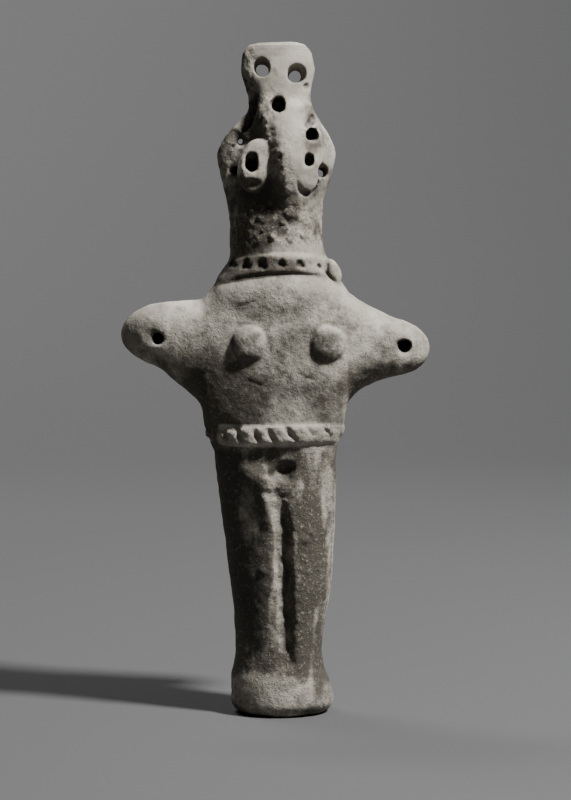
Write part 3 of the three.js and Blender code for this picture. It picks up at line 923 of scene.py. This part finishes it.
off_pit = ramp(np.abs(z - BELLY_PIT_HEIGHT), 2.5, 4)
bore_painted_shade = ramp(-clay.sample(points, unbored), *BORE_SHADE) * (BELLY_PIT_SHADE + (1 - BELLY_PIT_SHADE) * off_pit)
hollow = np.maximum.reduce((
    crowded(NEAR),
    0.7 * crowded(WIDE),
    0.88 * bore_painted_shade,
    0.5 * under_arm_painted_shade,
    # painted shade on the legs' left side, over their dark patina
    leg_left_patina_and_shade * (0.55 + 0.25 * mottle),
    0.45 * groove_foot_painted_shade,
    0.4 * belly_pit_painted_shade,
))
store("hollow", np.clip(hollow * (1 - 0.6 * belt), 0, 1))


# How gritty the clay looks: less on top of things, on the crown and beside the beak

sanded = ramp(normals[:, 2], 0.0, 0.7) + crown * (1 - rough_crown_edge) + ramp(x, 2, 4) * ramp(z, 122, 126)
gritty = 0.55 + 0.2 * (rough - 1) + 0.4 * legs + 0.35 * foot + 0.12 * torso - 0.3 * sanded
store("grit", np.clip(gritty, 0.2, 1))

figure = bpy.data.objects.new("figurine_clay", mesh)
bpy.context.scene.collection.objects.link(figure)
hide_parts("figurine")
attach(figure, "root")


# Material

class Nodes:
    def __init__(self, name):
        self.material = bpy.data.materials.new(name)
        self.material.use_nodes = True
        self.tree = self.material.node_tree
        self.shader = self.tree.nodes["Principled BSDF"]
        self.place = self.add("ShaderNodeTexCoord").outputs["Object"]

    def add(self, kind, **settings):
        node = self.tree.nodes.new(kind)
        for name, value in settings.items():
            setattr(node, name, value)
        return node

    def feed(self, socket, value):
        if isinstance(value, bpy.types.NodeSocket):
            self.tree.links.new(value, socket)
        else:
            socket.default_value = value

    def noise(self, size, detail=3.0, rough=0.6):
        """Noise whose lumps are about `size` millimetres across."""
        node = self.add("ShaderNodeTexNoise")
        self.feed(node.inputs["Vector"], self.place)
        node.inputs["Scale"].default_value = 1 / (size * MM)
        node.inputs["Detail"].default_value = detail
        node.inputs["Roughness"].default_value = rough
        return node.outputs["Fac"]

    def between(self, value, low, high):
        node = self.add("ShaderNodeMapRange", interpolation_type="SMOOTHSTEP")
        self.feed(node.inputs["Value"], value)
        node.inputs["From Min"].default_value = low
        node.inputs["From Max"].default_value = high
        return node.outputs["Result"]

    def maths(self, operation, one, two, clamp=True):
        node = self.add("ShaderNodeMath", operation=operation, use_clamp=clamp)
        self.feed(node.inputs[0], one)
        self.feed(node.inputs[1], two)
        return node.outputs[0]

    def mix(self, amount, one, two):
        node = self.add("ShaderNodeMix", data_type="RGBA")
        # The colours' own sockets are the seventh and eighth, and their result is the third
        self.feed(node.inputs[0], amount)
        self.feed(node.inputs[6], one)
        self.feed(node.inputs[7], two)
        return node.outputs[2]

    def attribute(self, name):
        return self.add("ShaderNodeAttribute", attribute_name=name).outputs["Fac"]


PALE = (0.60, 0.56, 0.48, 1)
BUFF = (0.42, 0.385, 0.32, 1)
DUSTY = (0.33, 0.30, 0.25, 1)
STAIN_AND_PAINTED_SHADE = (0.10, 0.088, 0.07, 1)
PAINTED_SHADE_DARK = (0.05, 0.045, 0.038, 1)
COARSE_RELIEF = 0.6 * MM
FINE_RELIEF = 0.4 * MM

nodes = Nodes("fired_clay")
grain = nodes.noise(0.8, detail=4, rough=0.7)
blotches = nodes.noise(2.4, detail=6, rough=0.72)
colour = nodes.mix(nodes.between(nodes.noise(16), 0.38, 0.66), BUFF, PALE)
colour = nodes.mix(nodes.between(nodes.noise(5, detail=4, rough=0.65), 0.45, 0.75), colour, DUSTY)
# Real discolouring and patina, with painted shade and painted light, are mixed into the colour here
stain_and_shade_amount = nodes.maths("ADD", nodes.attribute("patina_and_painted_light"), blotches, clamp=False)
colour = nodes.mix(nodes.between(stain_and_shade_amount, 0.70, 1.28), colour, STAIN_AND_PAINTED_SHADE)
grit = nodes.attribute("grit")
specks = nodes.noise(0.5)
worn = nodes.maths("MULTIPLY", nodes.between(grain, 0.54, 0.68), nodes.maths("MULTIPLY", grit, 0.75))
colour = nodes.mix(worn, colour, BUFF)
pits = nodes.maths("MULTIPLY", nodes.between(specks, 0.44, 0.32), grit)
colour = nodes.mix(pits, colour, STAIN_AND_PAINTED_SHADE)
# Painted shade in hollows, bores and under the left arm
colour = nodes.mix(nodes.maths("MULTIPLY", nodes.attribute("hollow"), 0.85), colour, PAINTED_SHADE_DARK)
nodes.feed(nodes.shader.inputs["Base Color"], colour)
nodes.shader.inputs["Roughness"].default_value = 0.9
nodes.shader.inputs["Specular IOR Level"].default_value = 0.25
coarse = nodes.add("ShaderNodeBump")
nodes.feed(coarse.inputs["Strength"], nodes.maths("MULTIPLY", grit, 0.6))
coarse.inputs["Distance"].default_value = COARSE_RELIEF
nodes.feed(coarse.inputs["Height"], blotches)
bump = nodes.add("ShaderNodeBump")
nodes.feed(bump.inputs["Strength"], grit)
bump.inputs["Distance"].default_value = FINE_RELIEF
nodes.feed(bump.inputs["Height"], grain)
nodes.feed(bump.inputs["Normal"], coarse.outputs["Normal"])
nodes.feed(nodes.shader.inputs["Normal"], bump.outputs["Normal"])
mesh.materials.append(nodes.material)


# Floor, with a sweep behind the figurine

FLOOR_HALF = 1.2
SWEEP_START = 0.55
SWEEP_RADIUS = 0.5
SWEEP_TOP = 1.4
SWEEP_STEPS = 16
FLOOR_FRONT = -1.0
FLOOR_BLOTCH = 300  # millimetres
FLOOR_DARK = (0.112, 0.112, 0.112, 1)
FLOOR_LIGHT = (0.122, 0.122, 0.122, 1)
profile = [(FLOOR_FRONT, 0.0), (SWEEP_START, 0.0)]
for step in range(1, SWEEP_STEPS + 1):
    angle = step / SWEEP_STEPS * math.pi / 2
    profile.append((SWEEP_START + SWEEP_RADIUS * math.sin(angle), SWEEP_RADIUS * (1 - math.cos(angle))))
profile.append((SWEEP_START + SWEEP_RADIUS, SWEEP_TOP))
floor_mesh = bpy.data.meshes.new("floor")
floor_points = [(x, y, z) for y, z in profile for x in (-FLOOR_HALF, FLOOR_HALF)]
floor_faces = [(2 * i, 2 * i + 1, 2 * i + 3, 2 * i + 2) for i in range(len(profile) - 1)]
floor_mesh.from_pydata(floor_points, [], floor_faces)
floor_mesh.shade_smooth()
floor = bpy.data.objects.new("floor", floor_mesh)
bpy.context.scene.collection.objects.link(floor)
floor_nodes = Nodes("floor_paint")
floor_tone = floor_nodes.mix(floor_nodes.noise(FLOOR_BLOTCH, detail=1), FLOOR_DARK, FLOOR_LIGHT)
floor_nodes.feed(floor_nodes.shader.inputs["Base Color"], floor_tone)
floor_nodes.shader.inputs["Roughness"].default_value = 0.8
floor_mesh.materials.append(floor_nodes.material)


# Light

def area_light(name, place, target, size, power):
    light = bpy.data.lights.new(name, "AREA")
    light.shape = "DISK"
    light.size = size
    light.energy = power
    lamp = bpy.data.objects.new(name, light)
    lamp.location = place
    lamp.rotation_euler = (Vector(target) - Vector(place)).to_track_quat("-Z", "Y").to_euler()
    bpy.context.scene.collection.objects.link(lamp)


CENTRE = Vector((0, 0, 0.085))
KEY_DIRECTION = Vector((0.52, -0.30, 0.76)).normalized()
KEY_DISTANCE = 0.75
BACKDROP_LIGHT_PLACE = (-0.4, 0.40, 0.9)
BACKDROP_LIGHT_TARGET = (-0.2, 1.1, 0.3)
ROOM_LIGHT = 0.010
area_light("key", CENTRE + KEY_DIRECTION * KEY_DISTANCE, CENTRE, size=0.09, power=12.6)
area_light("backdrop", BACKDROP_LIGHT_PLACE, BACKDROP_LIGHT_TARGET, size=0.5, power=9.6)

world = bpy.data.worlds.new("studio")
world.use_nodes = True
world.node_tree.nodes["Background"].inputs["Color"].default_value = (1, 1, 1, 1)
world.node_tree.nodes["Background"].inputs["Strength"].default_value = ROOM_LIGHT
bpy.context.scene.world = world


# Camera, at the photograph's viewing angle

CAMERA_PLACE = Vector((0.835, -546.805, 119.873)) * MM
CAMERA_PITCH = math.radians(4.673)
CAMERA_LENS = 103.5
CAMERA_SENSOR = 36
camera = bpy.data.cameras.new("camera")
camera.lens = CAMERA_LENS
camera.sensor_width = CAMERA_SENSOR
camera_object = bpy.data.objects.new("camera", camera)
camera_object.location = CAMERA_PLACE
camera_object.rotation_euler = (math.pi / 2 - CAMERA_PITCH, 0, 0)
bpy.context.scene.collection.objects.link(camera_object)
bpy.context.scene.camera = camera_object
